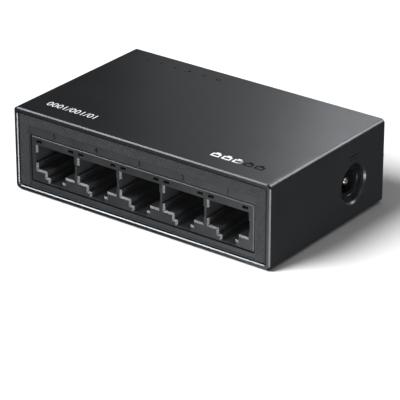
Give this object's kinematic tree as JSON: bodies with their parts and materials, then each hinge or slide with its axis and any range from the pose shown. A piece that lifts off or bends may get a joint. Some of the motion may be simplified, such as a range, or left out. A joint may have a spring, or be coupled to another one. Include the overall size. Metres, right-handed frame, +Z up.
{
  "type": "desktop network switch",
  "caption": "Compact desktop Ethernet switch in a dark metal sleeve, with a row of modular network ports in a knurled front bezel, a coaxial power inlet on the side and small lamps on top.",
  "frame": {"origin": "middle of the footprint, on the surface that the feet stand on", "axes": "+X to the right as seen from the ports, towards the power inlet; -Y out of the ports; +Z up"},
  "size_m": [0.0824, 0.0514, 0.0238],
  "materials": {
    "case_metal": "satin, bead-blasted and anodised dark grey, with a diamond-cut bright edge on the front rim",
    "end_plastic": "moulded dark grey ABS with a fine diamond knurl on the front",
    "socket_plastic": "moulded black, slightly satin",
    "contact_gold": "gold-plated phosphor bronze",
    "nickel_plate": "nickel-plated, bright",
    "tinned_leads": "tin-plated",
    "screw_steel": "zinc-plated",
    "nylon": "natural nylon",
    "foot_rubber": "matt black rubber",
    "board_laminate": "glass-epoxy laminate with green solder mask",
    "package_black": "black moulding compound",
    "can_metal": "drawn metal cans",
    "resistor_ceramic": "thick-film chips",
    "lamp_lens": "clear epoxy over a small light-emitting chip",
    "clear_acrylic": "clear acrylic"
  },
  "bodies": {
    "case": {"board_spacers": "nylon", "case_screws": "screw_steel", "chip_resistors": "resistor_ceramic", "circuit_board": "board_laminate", "contact_carrier_1": "socket_plastic", "contact_carrier_2": "socket_plastic", "contact_carrier_3": "socket_plastic", "contact_carrier_4": "socket_plastic", "contact_carrier_5": "socket_plastic", "core_capacitor": "can_metal", "crystal": "can_metal", "front_bezel": "end_plastic", "hairpin_wires_1": "contact_gold", "hairpin_wires_2": "contact_gold", "hairpin_wires_3": "contact_gold", "hairpin_wires_4": "contact_gold", "hairpin_wires_5": "contact_gold", "housing_sleeve": "case_metal", "indicator_light_1": "lamp_lens", "indicator_light_2": "lamp_lens", "indicator_light_3": "lamp_lens", "indicator_light_4": "lamp_lens", "indicator_light_5": "lamp_lens", "indicator_light_6": "lamp_lens", "input_capacitor": "can_metal", "leaf_terminal": "nickel_plate", "light_guide": "clear_acrylic", "line_transformer_1": "package_black", "line_transformer_2": "package_black", "line_transformer_3": "package_black", "line_transformer_4": "package_black", "line_transformer_5": "package_black", "memory_chip": "package_black", "network_socket_housing": "socket_plastic", "output_capacitor": "can_metal", "pin_terminal": "nickel_plate", "power_inductor": "package_black", "power_pin": "nickel_plate", "power_socket_body": "socket_plastic", "rear_panel": "end_plastic", "rubber_foot_front_left": "foot_rubber", "rubber_foot_front_right": "foot_rubber", "rubber_foot_rear_left": "foot_rubber", "rubber_foot_rear_right": "foot_rubber", "switch_chip": "package_black", "switch_chip_leads": "tinned_leads", "transformer_leads": "tinned_leads", "voltage_regulator": "package_black"},
    "port_1_contacts": {"spring_fingers_1": "contact_gold"},
    "port_2_contacts": {"spring_fingers_2": "contact_gold"},
    "port_3_contacts": {"spring_fingers_3": "contact_gold"},
    "port_4_contacts": {"spring_fingers_4": "contact_gold"},
    "port_5_contacts": {"spring_fingers_5": "contact_gold"},
    "power_contact": {"sleeve_leaf": "nickel_plate"}
  },
  "joints": [
    {"name": "port_1_contact_lift", "type": "hinge", "parent": "case", "child": "port_1_contacts", "pos_m": [0.02794, -0.02155, 0.014], "axis": [1, 0, 0], "range_deg": [0, 8], "stiffness_Nm_per_rad": 0.5},
    {"name": "port_2_contact_lift", "type": "hinge", "parent": "case", "child": "port_2_contacts", "pos_m": [0.01397, -0.02155, 0.014], "axis": [1, 0, 0], "range_deg": [0, 8], "stiffness_Nm_per_rad": 0.5},
    {"name": "port_3_contact_lift", "type": "hinge", "parent": "case", "child": "port_3_contacts", "pos_m": [0, -0.02155, 0.014], "axis": [1, 0, 0], "range_deg": [0, 8], "stiffness_Nm_per_rad": 0.5},
    {"name": "port_4_contact_lift", "type": "hinge", "parent": "case", "child": "port_4_contacts", "pos_m": [-0.01397, -0.02155, 0.014], "axis": [1, 0, 0], "range_deg": [0, 8], "stiffness_Nm_per_rad": 0.5},
    {"name": "port_5_contact_lift", "type": "hinge", "parent": "case", "child": "port_5_contacts", "pos_m": [-0.02794, -0.02155, 0.014], "axis": [1, 0, 0], "range_deg": [0, 8], "stiffness_Nm_per_rad": 0.5},
    {"name": "power_contact_press", "type": "hinge", "parent": "case", "child": "power_contact", "pos_m": [0.0312, 0.0114, 0.00645], "axis": [0, 1, 0], "range_deg": [0, 6], "stiffness_Nm_per_rad": 0.15}
  ]
}
